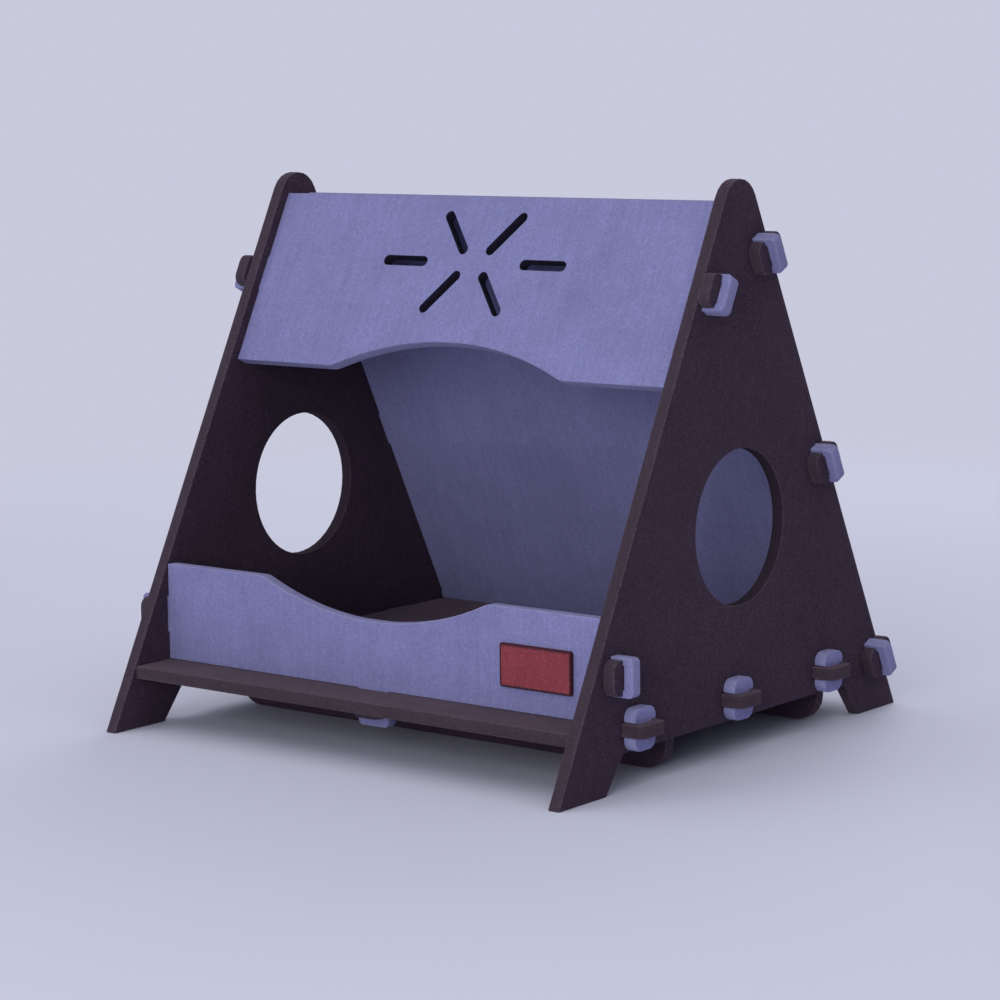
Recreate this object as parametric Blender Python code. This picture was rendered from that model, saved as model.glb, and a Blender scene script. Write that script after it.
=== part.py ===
"""Flat-pack cat house: an A-frame of thick felt boards, locked together by felt keys.

Two dark end panels stand on their feet. Between them run a light roof board, a light back
board, a light sill with a sewn-on patch, and a dark floor that two dark rails carry. The
boards' tabs pass through slots in the end panels. A key is squeezed through each tab, against
the panel's outer face, and its two heads are wider than the slot, so it stays there. The sill
has one more tab and key, down through the floor.
Metres, Z up, X along the ridge, the front at -Y, the origin on the ground under the middle.
"""

import math

import bmesh
import bpy
from mathutils import Matrix, Vector

# Felt board, and the gap left between pieces that touch
BOARD = 0.010
FIT = 0.0003

# End panels: an A with its two slopes, a rounded top, two feet and a round window
HOUSE_WIDTH = 0.444
HOUSE_DEPTH = 0.455
APEX_HEIGHT = 0.458
APEX_RADIUS = 0.022
FOOT_WIDTH = 0.056
FOOT_LEAN = math.radians(38.5)
ARCH_HEIGHT = 0.0277
ARCH_CORNER = 0.006
WINDOW_DIAMETER = 0.118
WINDOW_HEIGHT = 0.1725

# Keys: a narrow waist in the tab's slot, and a head on each side that is wider than the slot
KEY_WAIST = 0.017
KEY_HEAD = 0.026
KEY_PROUD = 0.0105
KEY_CORNER = 0.0075
KEY_HEEL_CORNER = 0.0015

# Tabs: the felt beside a key's waist and beyond it
TAB_CHEEK = 0.0057
TAB_NOSE = 0.0075
TAB_CORNER = 0.004

# Roof and back boards, which lie this far behind the end panels' slanted edges
SLOPE_RECESS = 0.008
RIDGE_GAP = 0.008
ROOF_LENGTH = 0.1465
ROOF_TAB_DROP = 0.071
ROOF_ARCH_CHORD = 0.231
ROOF_ARCH_RISE = 0.025
BACK_BOTTOM_HEIGHT = 0.026
BACK_TOP_TAB_DROP = 0.041
BACK_LOW_TAB_LIFT = 0.018

# The roof's sunburst of six slots, measured along the board
BURST_DROP = 0.0555
BURST_SLOT_LENGTH = 0.044
BURST_SLOT_WIDTH = 0.0085
BURST_LEVEL_OFFSET = 0.0675
BURST_SLANT_OFFSET = 0.0245
BURST_SLANT_RISE = 0.025
BURST_SLANT_ANGLE = math.radians(51.0)

# Floor and its rails
FLOOR_TOP = 0.050
FLOOR_TAB_MARGIN = 0.065
FRONT_RAIL_SETBACK = 0.1255
REAR_RAIL_SETBACK = 0.052
RAIL_LIFT = 0.0005
RAIL_CORNER = 0.020
RAIL_TENON_WIDTH = 0.040
RAIL_TENON_SPREAD = 0.120

# Sill and its patch
SILL_SETBACK = 0.038
SILL_HEIGHT = 0.0764
SILL_DIP_CHORD = 0.227
SILL_DIP_DEPTH = 0.0245
SILL_TAB_LIFT = 0.036
PATCH_WIDTH = 0.065
PATCH_HEIGHT = 0.0325
PATCH_THICKNESS = 0.003
PATCH_CORNER = 0.002
PATCH_END_MARGIN = 0.023
PATCH_FLOOR_MARGIN = 0.018

# Curves: the fillet at the foot of an arch, and how finely arcs are stepped
CURVE_EASE = 0.015
CURVE_STEPS = 9
ARC_STEP = math.radians(18.0)
WINDOW_STEPS = 48
SMOOTH_ANGLE = math.radians(30.0)
SAME_POINT = 1e-6

# Sizes that follow from the ones above
OUTER_X = HOUSE_WIDTH / 2
INNER_X = OUTER_X - BOARD
SHOULDER_X = INNER_X - FIT
TAB_WIDTH = KEY_WAIST + 2 * FIT + 2 * TAB_CHEEK
TAB_TIP_X = OUTER_X + 2 * FIT + BOARD + TAB_NOSE
KEY_NECK = BOARD / 2 + FIT
KEY_END = KEY_NECK + KEY_PROUD
SLOPE = math.atan2(HOUSE_DEPTH / 2, APEX_HEIGHT)
SLOPE_INNER = SLOPE_RECESS + BOARD
SLOPE_MIDDLE = SLOPE_RECESS + BOARD / 2
RIDGE_DROP = (SLOPE_INNER * math.cos(SLOPE) + RIDGE_GAP / 2) / math.sin(SLOPE)
BACK_END = (APEX_HEIGHT - BACK_BOTTOM_HEIGHT - SLOPE_INNER * math.sin(SLOPE)) / math.cos(SLOPE)
FLOOR_BOTTOM = FLOOR_TOP - BOARD
FLOOR_FRONT = -(APEX_HEIGHT - FLOOR_TOP) * math.tan(SLOPE)
FLOOR_BACK = -FLOOR_FRONT - (SLOPE_INNER + FIT) / math.cos(SLOPE)
FLOOR_MIDDLE = (FLOOR_FRONT + FLOOR_BACK) / 2
SILL_FRONT = FLOOR_FRONT + SILL_SETBACK
SILL_BACK = SILL_FRONT + BOARD
SILL_BOTTOM = FLOOR_TOP + FIT
SILL_TOP = FLOOR_TOP + SILL_HEIGHT
SILL_TAB_HEIGHT = FLOOR_TOP + SILL_TAB_LIFT
SILL_KEY_HEIGHT = FLOOR_BOTTOM - FIT - BOARD / 2
FRONT_RAIL_Y = FLOOR_FRONT + FRONT_RAIL_SETBACK
REAR_RAIL_Y = FLOOR_BACK - REAR_RAIL_SETBACK

# Places of the side tabs: down the slopes, up the sill and along the floor
BACK_TOP_TAB = RIDGE_DROP + BACK_TOP_TAB_DROP
BACK_LOW_TAB = BACK_END - BACK_LOW_TAB_LIFT
ROOF_TABS = [RIDGE_DROP + ROOF_TAB_DROP]
BACK_TABS = [BACK_TOP_TAB, (BACK_TOP_TAB + BACK_LOW_TAB) / 2, BACK_LOW_TAB]
FLOOR_TABS = [FLOOR_FRONT + FLOOR_TAB_MARGIN, FLOOR_MIDDLE, FLOOR_BACK - FLOOR_TAB_MARGIN]
SILL_TABS = [SILL_TAB_HEIGHT]


def felt(name, colour, roughness):
    """A plain matt material."""
    material = bpy.data.materials.new(name)
    material.use_nodes = True
    shader = material.node_tree.nodes["Principled BSDF"]
    shader.inputs["Base Color"].default_value = (*colour, 1.0)
    shader.inputs["Roughness"].default_value = roughness
    shader.inputs["Metallic"].default_value = 0.0
    return material


def fitting_radii(corners, edges, halves):
    """The corners' radii, each drawn in where two roundings would meet on a short edge."""
    cuts = [corner[2] / math.tan(half) for corner, half in zip(corners, halves)]
    shares = []
    for index, edge in enumerate(edges):
        used = cuts[index] + cuts[(index + 1) % len(cuts)]
        shares.append(edge.length / used if used > edge.length else 1.0)
    return [corner[2] * min(shares[index - 1], shares[index]) for index, corner in enumerate(corners)]


def rounded(corners):
    """The outline through corners (u, v, radius), each turned with its own radius."""
    places = [Vector(corner[:2]) for corner in corners]
    edges = [places[(index + 1) % len(places)] - place for index, place in enumerate(places)]
    halves = [(-edges[index - 1]).angle(edge) / 2 for index, edge in enumerate(edges)]
    points = []
    for index, radius in enumerate(fitting_radii(corners, edges, halves)):
        if radius == 0:
            points.append(places[index])
            continue
        back = -edges[index - 1].normalized()
        on = edges[index].normalized()
        half = halves[index]
        centre = places[index] + (back + on).normalized() * radius / math.sin(half)
        start = places[index] + back * radius / math.tan(half) - centre
        turn = math.copysign(math.pi - 2 * half, back.y * on.x - back.x * on.y)
        steps = max(2, math.ceil(abs(turn) / ARC_STEP))
        for step in range(steps + 1):
            points.append(centre + Matrix.Rotation(turn * step / steps, 2) @ start)
    return [spot for index, spot in enumerate(points) if (spot - points[index - 1]).length > SAME_POINT]


def rectangle(middle, width, height, radius=0.0, angle=0.0):
    """A closed rectangle about its middle, turned by an angle, with its corners rounded."""
    signs = ((-1, -1), (1, -1), (1, 1), (-1, 1))
    turn = Matrix.Rotation(angle, 2)
    corners = []
    for u, v in signs:
        point = Vector(middle) + turn @ Vector((u * width / 2, v * height / 2))
        corners.append((point.x, point.y, radius))
    return rounded(corners)


def eased_arc(chord, rise):
    """Right half of a low arch over the chord, from its foot's fillet up to near the crown."""
    half = chord / 2
    radius = (half ** 2 + rise ** 2) / (2 * rise) - CURVE_EASE
    sweep = math.atan2(half, radius + CURVE_EASE - rise)
    turns = [sweep * step / CURVE_STEPS for step in range(CURVE_STEPS + 1)]
    foot = [(half - CURVE_EASE * math.sin(t), CURVE_EASE * (1 - math.cos(t))) for t in turns]
    crown = [(radius * math.sin(t), rise - radius * (1 - math.cos(t))) for t in turns[-2:0:-1]]
    return foot + crown


def side_tabs(centres):
    """Right-hand edge of a board between the end panels, with a tab at each centre."""
    corners = []
    for centre in centres:
        low = centre - TAB_WIDTH / 2
        high = centre + TAB_WIDTH / 2
        corners.append((SHOULDER_X, low, 0))
        corners.append((TAB_TIP_X, low, TAB_CORNER))
        corners.append((TAB_TIP_X, high, TAB_CORNER))
        corners.append((SHOULDER_X, high, 0))
    return corners


def both_sides(right):
    """A whole outline from its right half, given from one end of the middle line to the other."""
    left = [(-u, v, radius) for u, v, radius in reversed(right)]
    return rounded(right + left)


def key_slots(centres):
    """The slots for keys in a board's side tabs."""
    middle = OUTER_X + FIT + BOARD / 2
    size = (BOARD + 2 * FIT, KEY_WAIST + 2 * FIT)
    return [rectangle((side * middle, centre), *size) for side in (-1, 1) for centre in centres]


def extruded(name, outline, cutouts, thickness, material):
    """A flat solid: the outline with its cut-outs, filled and extruded upwards from z = 0."""
    shape = bmesh.new()
    for loop in [outline] + cutouts:
        verts = [shape.verts.new((point[0], point[1], 0.0)) for point in loop]
        for index, vert in enumerate(verts):
            shape.edges.new((verts[index - 1], vert))
    bmesh.ops.triangle_fill(shape, use_beauty=True, edges=shape.edges[:])
    raised = bmesh.ops.extrude_face_region(shape, geom=shape.faces[:])["geom"]
    top = [item for item in raised if isinstance(item, bmesh.types.BMVert)]
    bmesh.ops.translate(shape, vec=(0.0, 0.0, thickness), verts=top)
    bmesh.ops.recalc_face_normals(shape, faces=shape.faces[:])
    mesh = bpy.data.meshes.new(name)
    shape.to_mesh(mesh)
    shape.free()
    mesh.shade_smooth()
    mesh.set_sharp_from_angle(angle=SMOOTH_ANGLE)
    mesh.materials.append(material)
    return mesh


def add(name, mesh, place):
    """A node: the mesh under its own name, at its place."""
    node = bpy.data.objects.new(name, mesh)
    bpy.context.scene.collection.objects.link(node)
    node.matrix_world = place


def plane(origin, across, along):
    """A board's own frame: u across, v along, and w through its thickness."""
    u = Vector(across)
    v = Vector(along)
    axes = Matrix((u, v, u.cross(v))).transposed()
    return Matrix.Translation(origin) @ axes.to_4x4()


def slope_plane(side, recess):
    """Frame in the front (-1) or back (1) slope: v runs down from the apex, w runs inwards."""
    down = (0.0, side * math.sin(SLOPE), -math.cos(SLOPE))
    outer = plane((0.0, 0.0, APEX_HEIGHT), (-side, 0.0, 0.0), down)
    return outer @ Matrix.Translation((0.0, 0.0, recess))


def slope_slot(side, centre):
    """Slot in an end panel for a tab of the front or back slope board."""
    middle = slope_plane(side, SLOPE_MIDDLE) @ Vector((0.0, centre, 0.0))
    size = (BOARD + 2 * FIT, TAB_WIDTH + 2 * FIT)
    return rectangle((middle.y, middle.z), *size, angle=side * SLOPE)


def add_end_panels(material):
    """The two dark A panels, which share one outline."""
    foot = FOOT_WIDTH - HOUSE_DEPTH / 2
    arch = foot + ARCH_HEIGHT * math.tan(FOOT_LEAN)
    corners = [
        (0.0, APEX_HEIGHT, APEX_RADIUS),
        (-HOUSE_DEPTH / 2, 0.0, 0),
        (foot, 0.0, 0),
        (arch, ARCH_HEIGHT, ARCH_CORNER),
        (-arch, ARCH_HEIGHT, ARCH_CORNER),
        (-foot, 0.0, 0),
        (HOUSE_DEPTH / 2, 0.0, 0),
    ]
    turns = [2 * math.pi * step / WINDOW_STEPS for step in range(WINDOW_STEPS)]
    radius = WINDOW_DIAMETER / 2
    window = [(radius * math.cos(t), WINDOW_HEIGHT + radius * math.sin(t)) for t in turns]
    upright = (BOARD + 2 * FIT, TAB_WIDTH + 2 * FIT)
    level = (TAB_WIDTH + 2 * FIT, BOARD + 2 * FIT)
    slots = [slope_slot(-1, centre) for centre in ROOF_TABS]
    slots += [slope_slot(1, centre) for centre in BACK_TABS]
    slots += [rectangle((SILL_FRONT + BOARD / 2, centre), *upright) for centre in SILL_TABS]
    slots += [rectangle((centre, FLOOR_TOP - BOARD / 2), *level) for centre in FLOOR_TABS]
    mesh = extruded("end_panel", rounded(corners), [window] + slots, BOARD, material)
    for name, x in (("left_end_panel", -OUTER_X), ("right_end_panel", INNER_X)):
        add(name, mesh, plane((x, 0.0, 0.0), (0, 1, 0), (0, 0, 1)))


def add_roof_panel(place, material):
    """The short front roof board: an arched lower edge and a sunburst of slots."""
    end = RIDGE_DROP + ROOF_LENGTH
    right = [(SHOULDER_X, RIDGE_DROP, 0)] + side_tabs(ROOF_TABS) + [(SHOULDER_X, end, 0)]
    right += [(u, end - rise, 0) for u, rise in eased_arc(ROOF_ARCH_CHORD, ROOF_ARCH_RISE)]
    centre = RIDGE_DROP + BURST_DROP
    size = (BURST_SLOT_LENGTH, BURST_SLOT_WIDTH, BURST_SLOT_WIDTH / 2)
    slots = key_slots(ROOF_TABS)
    for side in (-1, 1):
        slots.append(rectangle((side * BURST_LEVEL_OFFSET, centre), *size))
        for up in (-1, 1):
            middle = (side * BURST_SLANT_OFFSET, centre + up * BURST_SLANT_RISE)
            slots.append(rectangle(middle, *size, angle=side * up * BURST_SLANT_ANGLE))
    mesh = extruded("front_roof_panel", both_sides(right), slots, BOARD, material)
    add("front_roof_panel", mesh, place)


def add_back_panel(place, material):
    """The tall back board, from the ridge down past the floor."""
    right = [(SHOULDER_X, RIDGE_DROP, 0)] + side_tabs(BACK_TABS) + [(SHOULDER_X, BACK_END, 0)]
    mesh = extruded("back_panel", both_sides(right), key_slots(BACK_TABS), BOARD, material)
    add("back_panel", mesh, place)


def add_floor(place, material):
    """The floor board, its front edge flush with the end panels."""
    right = [(SHOULDER_X, FLOOR_FRONT, 0)] + side_tabs(FLOOR_TABS) + [(SHOULDER_X, FLOOR_BACK, 0)]
    sill_slot = rectangle((0.0, SILL_FRONT + BOARD / 2), TAB_WIDTH + 2 * FIT, BOARD + 2 * FIT)
    slots = key_slots(FLOOR_TABS) + [sill_slot]
    tenon = (RAIL_TENON_WIDTH + 2 * FIT, BOARD + 2 * FIT)
    for y in (FRONT_RAIL_Y, REAR_RAIL_Y):
        slots += [rectangle((side * RAIL_TENON_SPREAD, y), *tenon) for side in (-1, 1)]
    mesh = extruded("floor_panel", both_sides(right), slots, BOARD, material)
    add("floor_panel", mesh, place)


def add_rails(material):
    """Two rails on edge under the floor, with rounded ends and tenons up through the floor."""
    top = FLOOR_BOTTOM - FIT
    near = RAIL_TENON_SPREAD - RAIL_TENON_WIDTH / 2
    far = RAIL_TENON_SPREAD + RAIL_TENON_WIDTH / 2
    right = [
        (SHOULDER_X, RAIL_LIFT, RAIL_CORNER),
        (SHOULDER_X, top, 0),
        (far, top, 0),
        (far, FLOOR_TOP, 0),
        (near, FLOOR_TOP, 0),
        (near, top, 0),
    ]
    mesh = extruded("floor_rail", both_sides(right), [], BOARD, material)
    for name, y in (("front_floor_rail", FRONT_RAIL_Y), ("rear_floor_rail", REAR_RAIL_Y)):
        add(name, mesh, plane((0.0, y + BOARD / 2, 0.0), (1, 0, 0), (0, 0, 1)))


def add_sill(place, material):
    """The upright front sill, with a dipped top edge and a tab down through the floor."""
    low_tip = SILL_KEY_HEIGHT - BOARD / 2 - FIT - TAB_NOSE
    right = [
        (TAB_WIDTH / 2, low_tip, TAB_CORNER),
        (TAB_WIDTH / 2, SILL_BOTTOM, 0),
        (SHOULDER_X, SILL_BOTTOM, 0),
    ]
    right += side_tabs(SILL_TABS) + [(SHOULDER_X, SILL_TOP, 0)]
    right += [(u, SILL_TOP - dip, 0) for u, dip in eased_arc(SILL_DIP_CHORD, SILL_DIP_DEPTH)]
    low_slot = rectangle((0.0, SILL_KEY_HEIGHT), KEY_WAIST + 2 * FIT, BOARD + 2 * FIT)
    slots = key_slots(SILL_TABS) + [low_slot]
    mesh = extruded("front_sill_panel", both_sides(right), slots, BOARD, material)
    add("front_sill_panel", mesh, place)


def add_patch(sill_place, material):
    """The small patch on the sill's outer face, near its right end."""
    x = INNER_X - PATCH_END_MARGIN - PATCH_WIDTH / 2
    z = FLOOR_TOP + PATCH_FLOOR_MARGIN + PATCH_HEIGHT / 2
    outline = rectangle((0, 0), PATCH_WIDTH, PATCH_HEIGHT, PATCH_CORNER)
    mesh = extruded("sill_patch", outline, [], PATCH_THICKNESS, material)
    add("sill_patch", mesh, sill_place @ Matrix.Translation((x, z, BOARD + FIT)))


def key_mesh(name, material):
    """A key about its own middle: its heads' width along x, its length through the tab along y."""
    head = [
        (KEY_WAIST / 2, KEY_NECK, 0),
        (KEY_HEAD / 2, KEY_NECK, KEY_HEEL_CORNER),
        (KEY_HEAD / 2, KEY_END, KEY_CORNER),
    ]
    right = [(u, -v, radius) for u, v, radius in reversed(head)] + head
    mesh = extruded(name, both_sides(right), [], BOARD, material)
    mesh.transform(Matrix.Translation((0.0, 0.0, -BOARD / 2)))
    return mesh


def add_side_keys(names, mesh, board_place, centres):
    """A key through each side tab of a board, outside the left and the right end panel."""
    upright = Matrix(((0, 0, 1), (1, 0, 0), (0, 1, 0)))
    turn = (board_place.to_3x3() @ upright).to_4x4()
    for side, end in ((-1, "left"), (1, "right")):
        x = side * (OUTER_X + FIT + BOARD / 2)
        for name, centre in zip(names, centres):
            middle = board_place @ Vector((0.0, centre, BOARD / 2))
            add(name + "_" + end, mesh, Matrix.Translation((x, middle.y, middle.z)) @ turn)


def build():
    """The whole house."""
    for old in list(bpy.data.objects):
        bpy.data.objects.remove(old, do_unlink=True)
    dark = felt("dark_felt", (0.052, 0.034, 0.045), 0.95)
    light = felt("light_felt", (0.25, 0.25, 0.41), 0.95)
    red = felt("red_patch", (0.27, 0.052, 0.06), 0.95)

    roof_place = slope_plane(-1, SLOPE_RECESS)
    back_place = slope_plane(1, SLOPE_RECESS)
    floor_place = plane((0.0, 0.0, FLOOR_BOTTOM), (1, 0, 0), (0, 1, 0))
    sill_place = plane((0.0, SILL_BACK, 0.0), (1, 0, 0), (0, 0, 1))
    add_end_panels(dark)
    add_roof_panel(roof_place, light)
    add_back_panel(back_place, light)
    add_floor(floor_place, dark)
    add_rails(dark)
    add_sill(sill_place, light)
    add_patch(sill_place, red)

    dark_key = key_mesh("dark_key", dark)
    light_key = key_mesh("light_key", light)
    back_names = ("back_key_upper", "back_key_middle", "back_key_lower")
    floor_names = ("floor_key_front", "floor_key_middle", "floor_key_rear")
    add_side_keys(("roof_key",), dark_key, roof_place, ROOF_TABS)
    add_side_keys(back_names, dark_key, back_place, BACK_TABS)
    add_side_keys(("sill_key",), dark_key, sill_place, SILL_TABS)
    add_side_keys(floor_names, light_key, floor_place, FLOOR_TABS)
    sill_middle = (0.0, SILL_BACK - BOARD / 2, SILL_KEY_HEIGHT)
    add("sill_bottom_key", dark_key, Matrix.Translation(sill_middle))


build()
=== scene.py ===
import math

import bmesh
import bpy
from mathutils import Matrix, Vector


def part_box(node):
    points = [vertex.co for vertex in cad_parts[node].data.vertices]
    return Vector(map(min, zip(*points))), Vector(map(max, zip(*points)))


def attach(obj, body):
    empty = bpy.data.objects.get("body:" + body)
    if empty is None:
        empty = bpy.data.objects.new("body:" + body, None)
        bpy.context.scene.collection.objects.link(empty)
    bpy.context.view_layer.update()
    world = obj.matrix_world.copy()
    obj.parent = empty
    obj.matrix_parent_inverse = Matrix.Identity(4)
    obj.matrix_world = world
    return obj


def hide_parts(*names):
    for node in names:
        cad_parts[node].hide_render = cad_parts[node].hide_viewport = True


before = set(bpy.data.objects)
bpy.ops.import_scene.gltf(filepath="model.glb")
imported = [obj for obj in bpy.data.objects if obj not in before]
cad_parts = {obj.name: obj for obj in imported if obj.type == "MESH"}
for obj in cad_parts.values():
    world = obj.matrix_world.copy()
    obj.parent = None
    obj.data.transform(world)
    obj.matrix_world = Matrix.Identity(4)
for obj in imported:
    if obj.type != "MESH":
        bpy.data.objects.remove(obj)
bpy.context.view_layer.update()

# Camera. It stands to the right of the front and a little above the ridge, looks down on the
# house by 8 degrees, and takes in the whole of it with a margin.
CAMERA_PLACE = (1.4275, -1.8330, 0.5025)
CAMERA_TURN = math.radians(38.01)
CAMERA_DIP = math.radians(8.02)
CAMERA_ROLL = math.radians(-0.53)
CAMERA_LENS = 106.84
CAMERA_SENSOR = 36.0

camera = bpy.data.objects.new("camera", bpy.data.cameras.new("camera"))
camera.data.sensor_width = CAMERA_SENSOR
camera.data.lens = CAMERA_LENS
bpy.context.scene.collection.objects.link(camera)
camera.matrix_world = (
    Matrix.Translation(CAMERA_PLACE)
    @ Matrix.Rotation(CAMERA_TURN, 4, "Z")
    @ Matrix.Rotation(math.pi / 2 - CAMERA_DIP, 4, "X")
    @ Matrix.Rotation(CAMERA_ROLL, 4, "Z")
)
bpy.context.scene.camera = camera
bpy.context.scene.view_settings.view_transform = "Standard"

# Studio. A pale round floor turns up into a wall at its rim, the backdrop from every side. A
# weak lamp stands high to the left of the front, a strong one lower to its right, which lights
# the inside, and a third behind. The air is brighter above.
STUDIO_RADIUS = 5.0
STUDIO_CURVE = 3.0
STUDIO_WALL = 3.0
STUDIO_CURVE_STEPS = 12
STUDIO_SIDES = 64
STUDIO_WELD = 1e-4
STUDIO_COLOUR = (0.58, 0.59, 0.72)
PAPER_NEAR = 0.7
PAPER_FAR = 1.9
PAPER_ROUGHNESS = 0.9
PAPER_GLOSS = 0.1
LAMP_AIM_HEIGHT = 0.2
SKY_TOP = 0.95
SKY_SIDE = 0.26
SKY_COLOUR = (1.0, 1.0, 1.0)


def studio_floor():
    """The floor and its turned-up rim, as one surface of revolution."""
    profile = [(0.0, 0.0), (STUDIO_RADIUS, 0.0)]
    for step in range(1, STUDIO_CURVE_STEPS + 1):
        turn = math.pi / 2 * step / STUDIO_CURVE_STEPS
        out = STUDIO_RADIUS + STUDIO_CURVE * math.sin(turn)
        profile.append((out, STUDIO_CURVE * (1 - math.cos(turn))))
    profile.append((STUDIO_RADIUS + STUDIO_CURVE, STUDIO_CURVE + STUDIO_WALL))
    shape = bmesh.new()
    verts = [shape.verts.new((r, 0.0, z)) for r, z in profile]
    edges = [shape.edges.new(pair) for pair in zip(verts, verts[1:])]
    bmesh.ops.spin(
        shape, geom=verts + edges, axis=(0, 0, 1), cent=(0, 0, 0),
        angle=2 * math.pi, steps=STUDIO_SIDES, use_duplicate=False,
    )
    bmesh.ops.remove_doubles(shape, verts=shape.verts, dist=STUDIO_WELD)
    bmesh.ops.recalc_face_normals(shape, faces=shape.faces)
    mesh = bpy.data.meshes.new("studio_floor")
    shape.to_mesh(mesh)
    shape.free()
    mesh.shade_smooth()
    return bpy.data.objects.new("studio_floor", mesh)


def studio_paper():
    """Pale paper, whose tone is evened out away from the house where it is seen or mirrored."""
    material = bpy.data.materials.new("studio_paper")
    material.use_nodes = True
    tree = material.node_tree
    shader = tree.nodes["Principled BSDF"]
    shader.inputs["Base Color"].default_value = (*STUDIO_COLOUR, 1.0)
    shader.inputs["Roughness"].default_value = PAPER_ROUGHNESS
    shader.inputs["Specular IOR Level"].default_value = PAPER_GLOSS
    glow = tree.nodes.new("ShaderNodeEmission")
    glow.inputs["Color"].default_value = (*STUDIO_COLOUR, 1.0)
    where = tree.nodes.new("ShaderNodeNewGeometry")
    away = tree.nodes.new("ShaderNodeVectorMath")
    away.operation = "LENGTH"
    tree.links.new(where.outputs["Position"], away.inputs[0])
    share = tree.nodes.new("ShaderNodeMapRange")
    share.interpolation_type = "SMOOTHSTEP"
    share.inputs["From Min"].default_value = PAPER_NEAR
    share.inputs["From Max"].default_value = PAPER_FAR
    tree.links.new(away.outputs["Value"], share.inputs["Value"])
    ray = tree.nodes.new("ShaderNodeLightPath")
    seen = ray.outputs["Is Camera Ray"]
    for kind in ("Is Glossy Ray", "Is Transmission Ray"):
        either = tree.nodes.new("ShaderNodeMath")
        either.operation = "MAXIMUM"
        tree.links.new(seen, either.inputs[0])
        tree.links.new(ray.outputs[kind], either.inputs[1])
        seen = either.outputs["Value"]
    evened = tree.nodes.new("ShaderNodeMath")
    evened.operation = "MULTIPLY"
    tree.links.new(share.outputs["Result"], evened.inputs[0])
    tree.links.new(seen, evened.inputs[1])
    mix = tree.nodes.new("ShaderNodeMixShader")
    tree.links.new(evened.outputs["Value"], mix.inputs["Fac"])
    tree.links.new(shader.outputs["BSDF"], mix.inputs[1])
    tree.links.new(glow.outputs["Emission"], mix.inputs[2])
    tree.links.new(mix.outputs["Shader"], tree.nodes["Material Output"].inputs["Surface"])
    return material


def soft_lamp(name, direction, distance, width, strength):
    """A square lamp that shines on the house; a strength of 1 shows a colour as written."""
    lamp = bpy.data.objects.new(name, bpy.data.lights.new(name, "AREA"))
    lamp.data.size = width
    lamp.data.energy = strength * (math.pi * distance) ** 2
    lamp.location = Vector(direction).normalized() * distance + Vector((0.0, 0.0, LAMP_AIM_HEIGHT))
    lamp.rotation_euler = Vector(direction).to_track_quat("Z", "Y").to_euler()
    lamp.visible_camera = False
    bpy.context.scene.collection.objects.link(lamp)


def studio_air():
    """The light that comes from everywhere, stronger from above."""
    air = bpy.data.worlds.new("air")
    air.use_nodes = True
    tree = air.node_tree
    where = tree.nodes.new("ShaderNodeTexCoord")
    parts = tree.nodes.new("ShaderNodeSeparateXYZ")
    tree.links.new(where.outputs["Generated"], parts.inputs["Vector"])
    level = tree.nodes.new("ShaderNodeMapRange")
    level.inputs["From Min"].default_value = 0.0
    level.inputs["From Max"].default_value = 1.0
    level.inputs["To Min"].default_value = SKY_SIDE
    level.inputs["To Max"].default_value = SKY_TOP
    tree.links.new(parts.outputs["Z"], level.inputs["Value"])
    tree.links.new(level.outputs["Result"], tree.nodes["Background"].inputs["Strength"])
    tree.nodes["Background"].inputs["Color"].default_value = (*SKY_COLOUR, 1.0)
    bpy.context.scene.world = air


studio = studio_floor()
studio.data.materials.append(studio_paper())
bpy.context.scene.collection.objects.link(studio)
soft_lamp("high_lamp", direction=(-0.45, -0.62, 0.64), distance=2.8, width=1.4, strength=0.10)
soft_lamp("low_lamp", direction=(0.34, -1.00, 0.24), distance=3.2, width=1.6, strength=0.50)
soft_lamp("back_lamp", direction=(-0.30, 1.00, 0.60), distance=3.0, width=1.8, strength=0.30)
studio_air()

# End panels. Two A-shaped boards of dark brown needled felt, 10 mm thick, cut to shape: flat
# faces, crisp arrises, and a cut edge that shows the felt's layers. The walls of their round
# windows are painted darker, as painted shade. The other boards' tabs go through slots in them.
DARK_FACE = (0.039, 0.024, 0.042)
DARK_FLECK = (0.102, 0.075, 0.104)
DARK_CUT = (0.052, 0.038, 0.050)
# The window walls' colour is painted shade, darker than the felt's own cut edge.
WINDOW_WALL_PAINTED_SHADE = (0.026, 0.017, 0.027)
WINDOW_HEIGHT = 0.1725
WINDOW_REACH = 0.062
WALL_SLANT = 0.5
ARRIS = 0.0009
ARRIS_STEPS = 3
ARRIS_ANGLE = math.radians(35.0)
FLAT_ANGLE = math.radians(0.5)
BOARD_WELD = 1e-5
SHOWN_SIDE = (0.9, -1.0, 0.8)
END_FACING = 0.9

FIBRE = (0.0090, 0.00100, 0.00100)
FIBRE_LINE = 0.045
FIBRE_WANDER = 0.0045
FIBRE_CURL = 0.014
LIGHT_FIBRE_TURNS = (0.25, 1.35, 2.35)
DARK_FIBRE_TURNS = (0.85, 1.95)
TUFT = (0.0016, 0.0016, 0.0016)
CLOUD = (0.030, 0.030, 0.030)
CLOUD_TURN = 0.4
PRESS = (0.160, 0.160, 0.160)
PRESS_TURN = 0.9
NEEDLING = (0.0040, 0.070, 0.0040)
LAYERS = (0.0045, 0.0045, 0.00055)
GRAIN_ROUGHNESS = 0.6
GRAIN_MIDDLE = 0.5

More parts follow.
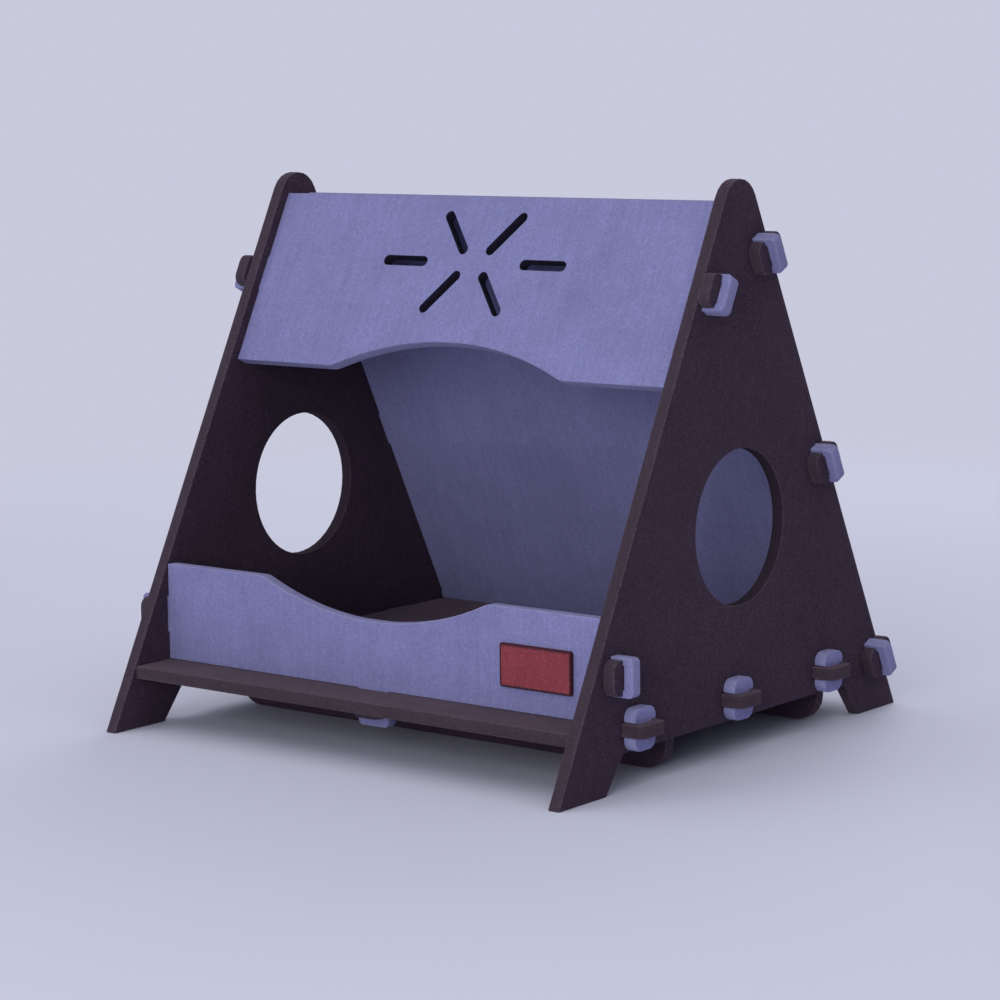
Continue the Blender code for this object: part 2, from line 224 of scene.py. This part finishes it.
LIGHT_FIBRE_SHARE = 0.60
LIGHT_FIBRE_PLACES = (0.40, 0.62)
DARK_FIBRE_SHARE = 0.45
DARK_FIBRE_TONE = 0.45
CUT_FACING = (0.75, 0.35)
CUT_SHARE = 0.75
LAYER_PLACES = (0.45, 0.80)
LAYER_SHARE = 0.6
ARRIS_FROM_FACE = (0.98, 0.85)
ARRIS_FROM_CUT = (0.08, 0.35)
# Where the rim takes its colour: raised fuzz together with painted light.
FUZZ_AND_PAINTED_LIGHT_PLACES = (0.35, 0.65)
FUZZ_AND_PAINTED_LIGHT_SHARE = (0.15, 0.60)
MID_GRAIN = (0.3, 0.7)
TUFT_TONE = 0.22
CLOUD_TONE = 0.07
PRESS_TONE = 0.06
NEEDLING_TONE = 0.05

LIGHT_FIBRE_RISE = 0.35
DARK_FIBRE_DIP = 0.2
TUFT_RISE = 0.9
LAYER_RISE = 0.6
FELT_BUMP = 0.7
FELT_DEPTH = 0.0004
FELT_ROUGHNESS = 0.95
FELT_GLOSS = 0.10
NAP_ROUGHNESS = 0.35


def grain(tree, place, size, turn=0.0, detail=2.0):
    """Noise in grains of a size in metres: along and across the board, and through it."""
    lay = tree.nodes.new("ShaderNodeMapping")
    lay.vector_type = "TEXTURE"
    lay.inputs["Scale"].default_value = size
    lay.inputs["Rotation"].default_value = (0.0, 0.0, turn)
    tree.links.new(place, lay.inputs["Vector"])
    wool = tree.nodes.new("ShaderNodeTexNoise")
    wool.inputs["Scale"].default_value = 1.0
    wool.inputs["Detail"].default_value = detail
    wool.inputs["Roughness"].default_value = GRAIN_ROUGHNESS
    tree.links.new(lay.outputs["Vector"], wool.inputs["Vector"])
    return wool.outputs["Fac"]


def between(tree, value, low, high, to_low=0.0, to_high=1.0):
    """A value moved from one range to another, and held inside it."""
    move = tree.nodes.new("ShaderNodeMapRange")
    move.inputs["From Min"].default_value = low
    move.inputs["From Max"].default_value = high
    move.inputs["To Min"].default_value = to_low
    move.inputs["To Max"].default_value = to_high
    tree.links.new(value, move.inputs["Value"])
    return move.outputs["Result"]


def maths(tree, operation, first, second):
    """Two values, or a value and a number, put together."""
    node = tree.nodes.new("ShaderNodeMath")
    node.operation = operation
    tree.links.new(first, node.inputs[0])
    if isinstance(second, float):
        node.inputs[1].default_value = second
    else:
        tree.links.new(second, node.inputs[1])
    return node.outputs["Value"]


def blend(tree, share, first, second, kind="MIX"):
    """One colour laid over another by a share."""
    node = tree.nodes.new("ShaderNodeMix")
    node.data_type = "RGBA"
    node.blend_type = kind
    node.clamp_factor = True
    if isinstance(share, float):
        node.inputs["Factor"].default_value = share
    else:
        tree.links.new(share, node.inputs["Factor"])
    for socket, colour in ((node.inputs[6], first), (node.inputs[7], second)):
        if isinstance(colour, tuple):
            socket.default_value = (*colour, 1.0)
        else:
            tree.links.new(colour, socket)
    return node.outputs[2]


def wandering(tree, place):
    """Places pushed about a little, so that what is drawn over them curls."""
    curl = tree.nodes.new("ShaderNodeTexNoise")
    curl.inputs["Scale"].default_value = 1.0 / FIBRE_CURL
    curl.inputs["Detail"].default_value = 1.0
    tree.links.new(place, curl.inputs["Vector"])
    push = tree.nodes.new("ShaderNodeVectorMath")
    push.operation = "MULTIPLY_ADD"
    push.inputs[1].default_value = (FIBRE_WANDER,) * 3
    tree.links.new(curl.outputs["Color"], push.inputs[0])
    tree.links.new(place, push.inputs[2])
    return push.outputs["Vector"]


def fibres(tree, place, turns):
    """Thin curling lines, one set along each of the turns: the wool's single fibres."""
    lines = None
    for turn in turns:
        strand = grain(tree, place, FIBRE, turn, detail=0.0)
        off_line = maths(tree, "ABSOLUTE", maths(tree, "SUBTRACT", strand, GRAIN_MIDDLE), 0.0)
        line = between(tree, off_line, 0.0, FIBRE_LINE, 1.0, 0.0)
        lines = line if lines is None else maths(tree, "MAXIMUM", lines, line)
    return lines


def varied(tree, tone, noise, less, more):
    """A tone that a noise makes darker or lighter, by at most the two shares given."""
    return maths(tree, "MULTIPLY", tone, between(tree, noise, *MID_GRAIN, 1.0 - less, 1.0 + more))


def felt(name, face, fleck, cut, rim, contrast, sheen):
    """Needled felt board: fibres lying every way, layers on its cut edge, fuzz and painted light
    on its rim.
    """
    material = bpy.data.materials.new(name)
    material.use_nodes = True
    tree = material.node_tree
    shader = tree.nodes["Principled BSDF"]
    where = tree.nodes.new("ShaderNodeTexCoord")
    piece = tree.nodes.new("ShaderNodeObjectInfo")
    shift = tree.nodes.new("ShaderNodeVectorMath")
    shift.operation = "ADD"
    tree.links.new(where.outputs["Object"], shift.inputs[0])
    tree.links.new(piece.outputs["Location"], shift.inputs[1])
    place = shift.outputs["Vector"]

    normal = tree.nodes.new("ShaderNodeSeparateXYZ")
    tree.links.new(where.outputs["Normal"], normal.inputs["Vector"])
    facing = maths(tree, "ABSOLUTE", normal.outputs["Z"], 0.0)
    on_cut = between(tree, facing, *CUT_FACING)
    off_face = between(tree, facing, *ARRIS_FROM_FACE)
    on_arris = maths(tree, "MULTIPLY", off_face, between(tree, facing, *ARRIS_FROM_CUT))

    curled = wandering(tree, place)
    light_hairs = fibres(tree, curled, LIGHT_FIBRE_TURNS)
    dark_hairs = fibres(tree, curled, DARK_FIBRE_TURNS)
    tufts = grain(tree, place, TUFT, detail=3.0)
    clouds = grain(tree, place, CLOUD, CLOUD_TURN, detail=3.0)
    presses = grain(tree, place, PRESS, PRESS_TURN)
    rows = grain(tree, place, NEEDLING)
    layers = grain(tree, place, LAYERS, detail=3.0)

    shadow = tuple(DARK_FIBRE_TONE * channel for channel in face)
    shaded = maths(tree, "MULTIPLY", dark_hairs, DARK_FIBRE_SHARE * contrast)
    colour = blend(tree, shaded, face, shadow)
    lit = maths(tree, "MULTIPLY", light_hairs, between(tree, tufts, *LIGHT_FIBRE_PLACES))
    lit = maths(tree, "MULTIPLY", lit, LIGHT_FIBRE_SHARE * contrast)
    colour = blend(tree, lit, colour, fleck)
    layered = between(tree, layers, *LAYER_PLACES, 0.0, LAYER_SHARE)
    cut_tone = blend(tree, layered, cut, face)
    colour = blend(tree, maths(tree, "MULTIPLY", on_cut, CUT_SHARE), colour, cut_tone)
    # The rounded rim takes the rim colour in patches: raised fuzz with a painted highlight where
    # that colour is lighter, and painted shade where it is darker.
    fuzz_and_painted_light = maths(tree, "MULTIPLY", on_arris, between(tree, tufts, *FUZZ_AND_PAINTED_LIGHT_PLACES, *FUZZ_AND_PAINTED_LIGHT_SHARE))
    colour = blend(tree, fuzz_and_painted_light, colour, rim)

    tuft_tone = TUFT_TONE * contrast
    tone = between(tree, tufts, *MID_GRAIN, 1.0 - tuft_tone, 1.0 + tuft_tone)
    tone = varied(tree, tone, clouds, CLOUD_TONE * contrast, CLOUD_TONE)
    tone = varied(tree, tone, presses, PRESS_TONE, PRESS_TONE)
    tone = varied(tree, tone, rows, NEEDLING_TONE, NEEDLING_TONE)
    grey = tree.nodes.new("ShaderNodeCombineColor")
    for channel in ("Red", "Green", "Blue"):
        tree.links.new(tone, grey.inputs[channel])
    colour = blend(tree, 1.0, colour, grey.outputs["Color"], "MULTIPLY")
    tree.links.new(colour, shader.inputs["Base Color"])

    risen = maths(tree, "MULTIPLY", light_hairs, LIGHT_FIBRE_RISE)
    sunk = maths(tree, "MULTIPLY", dark_hairs, DARK_FIBRE_DIP)
    height = maths(tree, "SUBTRACT", risen, sunk)
    height = maths(tree, "ADD", height, maths(tree, "MULTIPLY", tufts, TUFT_RISE))
    ridges = maths(tree, "MULTIPLY", layers, on_cut)
    height = maths(tree, "ADD", height, maths(tree, "MULTIPLY", ridges, LAYER_RISE))
    bump = tree.nodes.new("ShaderNodeBump")
    bump.inputs["Strength"].default_value = FELT_BUMP
    bump.inputs["Distance"].default_value = FELT_DEPTH
    tree.links.new(height, bump.inputs["Height"])
    tree.links.new(bump.outputs["Normal"], shader.inputs["Normal"])
    shader.inputs["Roughness"].default_value = FELT_ROUGHNESS
    shader.inputs["Specular IOR Level"].default_value = FELT_GLOSS
    shader.inputs["Sheen Weight"].default_value = sheen
    shader.inputs["Sheen Roughness"].default_value = NAP_ROUGHNESS
    shader.inputs["Sheen Tint"].default_value = (*fleck, 1.0)
    return material


def box_of(shape):
    """The lowest and highest corners of a mesh that is being worked on."""
    columns = list(zip(*(vert.co for vert in shape.verts)))
    return [min(column) for column in columns], [max(column) for column in columns]


def board_frame(shape):
    """Axes of a flat piece: across its face, along its face, and out of the side that shows."""
    widest = max(shape.faces, key=lambda face: face.calc_area())
    out = widest.normal.normalized()
    if out.dot(Vector(SHOWN_SIDE)) < 0:
        out = -out
    faces_end = abs(out.x) > END_FACING
    across = Vector((0.0, 1.0, 0.0)) if faces_end else Vector((1.0, 0.0, 0.0))
    along = out.cross(across)
    low, high = (Vector(corner) for corner in box_of(shape))
    axes = Matrix((across, along, out)).transposed().to_4x4()
    return Matrix.Translation((low + high) / 2) @ axes


def mark_arrises(shape):
    """Marks the outward edges of a piece, the ones that are rounded."""
    shape.normal_update()
    rounded = shape.edges.layers.float["bevel_weight_edge"]
    for edge in shape.edges:
        edge[rounded] = 1.0 if edge.calc_face_angle_signed() > ARRIS_ANGLE else 0.0


def cut_piece(name, material, arris=ARRIS):
    """A felt piece with rounded arrises, cut to the solid of its name and laid in its place."""
    shape = bmesh.new()
    shape.from_mesh(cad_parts[name].data)
    bmesh.ops.remove_doubles(shape, verts=shape.verts, dist=BOARD_WELD)
    bmesh.ops.dissolve_limit(
        shape, angle_limit=FLAT_ANGLE, verts=shape.verts, edges=shape.edges
    )
    place = board_frame(shape)
    shape.transform(place.inverted())
    shape.edges.layers.float.new("bevel_weight_edge")
    mark_arrises(shape)
    mesh = bpy.data.meshes.new(name + "_felt")
    shape.to_mesh(mesh)
    shape.free()
    mesh.materials.clear()
    mesh.materials.append(material)
    mesh.shade_smooth()
    piece = bpy.data.objects.new(name + "_felt", mesh)
    bpy.context.scene.collection.objects.link(piece)
    piece.matrix_world = place
    rounding = piece.modifiers.new("arris", "BEVEL")
    rounding.width = arris
    rounding.segments = ARRIS_STEPS
    rounding.limit_method = "WEIGHT"
    rounding.harden_normals = True
    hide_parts(name)
    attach(piece, "root")
    return piece


def paint_wall_shade(board, shade_felt, middle, half_width, half_height):
    """Gives the walls of the cut-outs near a place on a board a darker material: painted shade."""
    board.data.materials.append(shade_felt)
    for face in board.data.polygons:
        away = face.center - middle
        is_wall = abs(face.normal.z) < WALL_SLANT
        if is_wall and abs(away.x) < half_width and abs(away.y) < half_height:
            face.material_index = 1


dark_felt = felt(
    "dark_felt_board", DARK_FACE, DARK_FLECK, DARK_CUT, DARK_FLECK, contrast=0.8, sheen=1.0
)
window_shade_felt = felt(
    "window_wall_painted_shade", WINDOW_WALL_PAINTED_SHADE, WINDOW_WALL_PAINTED_SHADE, WINDOW_WALL_PAINTED_SHADE, WINDOW_WALL_PAINTED_SHADE, contrast=0.8, sheen=0.3
)
for side in ("left", "right"):
    end_panel = cut_piece(side + "_end_panel", dark_felt)
    window = Vector((0.0, WINDOW_HEIGHT - end_panel.location.z, 0.0))
    paint_wall_shade(end_panel, window_shade_felt, window, WINDOW_REACH, WINDOW_REACH)

# Roof and back boards. Light grey felt of the same make, held by nothing but their tabs, which
# pass through the end panels. The roof has a sunburst of slots, their walls painted nearly
# black as painted shade.
LIGHT_FACE = (0.196, 0.196, 0.392)
LIGHT_FLECK = (0.284, 0.285, 0.474)
LIGHT_CUT = (0.226, 0.227, 0.404)
# Painted shade: the near black colour of the slot walls.
SLOT_WALL_PAINTED_SHADE = (0.020, 0.017, 0.034)
BURST_DROP = 0.0555
BURST_HALF_WIDTH = 0.092
BURST_HALF_HEIGHT = 0.048

light_felt = felt(
    "light_felt_board", LIGHT_FACE, LIGHT_FLECK, LIGHT_CUT, LIGHT_FLECK, contrast=0.5, sheen=0.3
)
slot_shade_felt = felt(
    "slot_wall_painted_shade", SLOT_WALL_PAINTED_SHADE, SLOT_WALL_PAINTED_SHADE, SLOT_WALL_PAINTED_SHADE, SLOT_WALL_PAINTED_SHADE, contrast=0.5, sheen=0.0
)
roof = cut_piece("front_roof_panel", light_felt)
ridge = max(vert.co.y for vert in roof.data.vertices)
burst = Vector((0.0, ridge - BURST_DROP, 0.0))
paint_wall_shade(roof, slot_shade_felt, burst, BURST_HALF_WIDTH, BURST_HALF_HEIGHT)
cut_piece("back_panel", light_felt)

# Floor board and its two rails. Dark felt: the floor lies between the end panels with its
# front edge flush with theirs, its face painted a little lighter as painted top light and its
# cut edge painted darker as painted shade. The rails stand on edge under it, tenoned up through
# it.
# Painted light: the face is lighter and the cut edge darker than the dark felt's own.
FLOOR_FACE_PAINTED_LIGHT = (0.066, 0.047, 0.061)
FLOOR_CUT_PAINTED_SHADE = (0.040, 0.028, 0.038)

painted_light_floor_felt = felt(
    "floor_felt_painted_light", FLOOR_FACE_PAINTED_LIGHT, DARK_FLECK, FLOOR_CUT_PAINTED_SHADE, DARK_FLECK, contrast=0.8, sheen=1.0
)
cut_piece("floor_panel", painted_light_floor_felt)
for name in ("front_floor_rail", "rear_floor_rail"):
    cut_piece(name, dark_felt)

# Sill. An upright light board with a dipped top edge, behind the floor's front edge, held by
# two side tabs and by one tab down through the floor.
cut_piece("front_sill_panel", light_felt)

# Patch. A small rectangle of thin rust-red felt with a darkened border, sewn flat on the sill
# near its right end with a running stitch of dark thread in that border. The border and the
# patch's sides are painted dark: painted shade along its edges.
# The side and border colours below are painted shade along the patch's edges.
RED_FACE = (0.230, 0.045, 0.062)
RED_FLECK = (0.380, 0.095, 0.105)
RED_SIDE_PAINTED_SHADE = (0.030, 0.008, 0.014)
RED_RIM_PAINTED_SHADE = (0.052, 0.011, 0.021)
PATCH_RIM = 0.0018
PATCH_ARRIS = 0.0008
STITCH_MARGIN = 0.0013
STITCH_PITCH = 0.0042
STITCH_LENGTH = 0.0037
THREAD_COLOUR = (0.050, 0.010, 0.022)
THREAD_SHADE = 0.55
THREAD_RADIUS = 0.00048
THREAD_RISE = 0.00034
THREAD_THINNING = 0.45
THREAD_SIDES = 8
THREAD_STEPS = 8
THREAD_TWIST = 0.0007
THREAD_BUMP = 0.5
THREAD_DEPTH = 0.0001
THREAD_ROUGHNESS = 0.6


def darken_rim(patch, width, shade_felt):
    """A darker border round the face of a flat piece, and down its sides: painted shade."""
    patch.data.materials.append(shade_felt)
    shape = bmesh.new()
    shape.from_mesh(patch.data)
    front = max(shape.faces, key=lambda face: face.calc_area() * face.normal.z)
    for face in shape.faces:
        face.material_index = 1
    front.material_index = 0
    for face in bmesh.ops.inset_region(shape, faces=[front], thickness=width)["faces"]:
        face.material_index = 1
    mark_arrises(shape)
    shape.to_mesh(patch.data)
    shape.free()


def add_stitch(shape, place):
    """One bent length of thread, thinner where it enters the felt, closed at both ends."""
    rings = []
    for step in range(THREAD_STEPS + 1):
        t = 2 * step / THREAD_STEPS - 1
        radius = THREAD_RADIUS * (1.0 - THREAD_THINNING * t * t)
        height = THREAD_RISE - (THREAD_RISE + THREAD_RADIUS) * t ** 4
        ring = []
        for side in range(THREAD_SIDES):
            turn = 2 * math.pi * side / THREAD_SIDES
            rise = height + radius * math.sin(turn)
            spot = Vector((t * STITCH_LENGTH / 2, rise, radius * math.cos(turn)))
            ring.append(shape.verts.new(place @ spot))
        rings.append(ring)
    for ring, following in zip(rings, rings[1:]):
        for side in range(THREAD_SIDES):
            after = (side + 1) % THREAD_SIDES
            shape.faces.new((ring[side], ring[after], following[after], following[side]))
    shape.faces.new(rings[0])
    shape.faces.new(rings[-1])


def patch_stitches(low, high):
    """The running stitch: short arcs of thread that rise out of the felt and dive into it."""
    left = low.x + STITCH_MARGIN
    right = high.x - STITCH_MARGIN
    bottom = low.z + STITCH_MARGIN
    top = high.z - STITCH_MARGIN
    corners = [
        Vector(spot) for spot in ((left, bottom), (right, bottom), (right, top), (left, top))
    ]
    shape = bmesh.new()
    for start, end in zip(corners, corners[1:] + corners[:1]):
        run = end - start
        along = run.normalized()
        count = round(run.length / STITCH_PITCH)
        for index in range(count):
            middle = start + run * (index + 0.5) / count
            stitch_place = Matrix((
                (along.x, 0.0, -along.y, middle.x),
                (0.0, -1.0, 0.0, low.y),
                (along.y, 0.0, along.x, middle.y),
                (0.0, 0.0, 0.0, 1.0),
            ))
            add_stitch(shape, stitch_place)
    bmesh.ops.recalc_face_normals(shape, faces=shape.faces)
    mesh = bpy.data.meshes.new("patch_stitches")
    shape.to_mesh(mesh)
    shape.free()
    mesh.shade_smooth()
    stitches = bpy.data.objects.new("patch_stitches", mesh)
    bpy.context.scene.collection.objects.link(stitches)
    return stitches


def sewing_thread(name, colour):
    """Two-ply thread: fine slanting bands where the plies turn round each other."""
    material = bpy.data.materials.new(name)
    material.use_nodes = True
    tree = material.node_tree
    shader = tree.nodes["Principled BSDF"]
    where = tree.nodes.new("ShaderNodeTexCoord")
    plies = tree.nodes.new("ShaderNodeTexWave")
    plies.bands_direction = "DIAGONAL"
    plies.inputs["Scale"].default_value = 1.0 / (THREAD_TWIST * math.sqrt(3.0))
    tree.links.new(where.outputs["Object"], plies.inputs["Vector"])
    shade = between(tree, plies.outputs["Fac"], 0.0, 1.0)
    dark = tuple(THREAD_SHADE * channel for channel in colour)
    tree.links.new(blend(tree, shade, dark, colour), shader.inputs["Base Color"])
    bump = tree.nodes.new("ShaderNodeBump")
    bump.inputs["Strength"].default_value = THREAD_BUMP
    bump.inputs["Distance"].default_value = THREAD_DEPTH
    tree.links.new(shade, bump.inputs["Height"])
    tree.links.new(bump.outputs["Normal"], shader.inputs["Normal"])
    shader.inputs["Roughness"].default_value = THREAD_ROUGHNESS
    return material


red_felt = felt(
    "red_patch_felt", RED_FACE, RED_FLECK, RED_SIDE_PAINTED_SHADE, RED_RIM_PAINTED_SHADE, contrast=0.6, sheen=0.3
)
rim_shade_felt = felt(
    "red_rim_painted_shade", RED_RIM_PAINTED_SHADE, RED_FLECK, RED_SIDE_PAINTED_SHADE, RED_RIM_PAINTED_SHADE, contrast=0.6, sheen=0.3
)
patch = cut_piece("sill_patch", red_felt, PATCH_ARRIS)
darken_rim(patch, PATCH_RIM, rim_shade_felt)
patch_low, patch_high = (Vector(corner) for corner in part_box("sill_patch"))
stitches = patch_stitches(patch_low, patch_high)
stitches.data.materials.append(sewing_thread("patch_thread", THREAD_COLOUR))
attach(stitches, "root")

# Keys. Small felt pieces, wide at both ends and narrow at the waist, squeezed through the
# tabs' slots: dark for the light boards' tabs, and light for the dark floor's.
for side in ("left", "right"):
    for tab in ("roof_key", "back_key_upper", "back_key_middle", "back_key_lower", "sill_key"):
        cut_piece(tab + "_" + side, dark_felt)
    for tab in ("floor_key_front", "floor_key_middle", "floor_key_rear"):
        cut_piece(tab + "_" + side, light_felt)
cut_piece("sill_bottom_key", dark_felt)
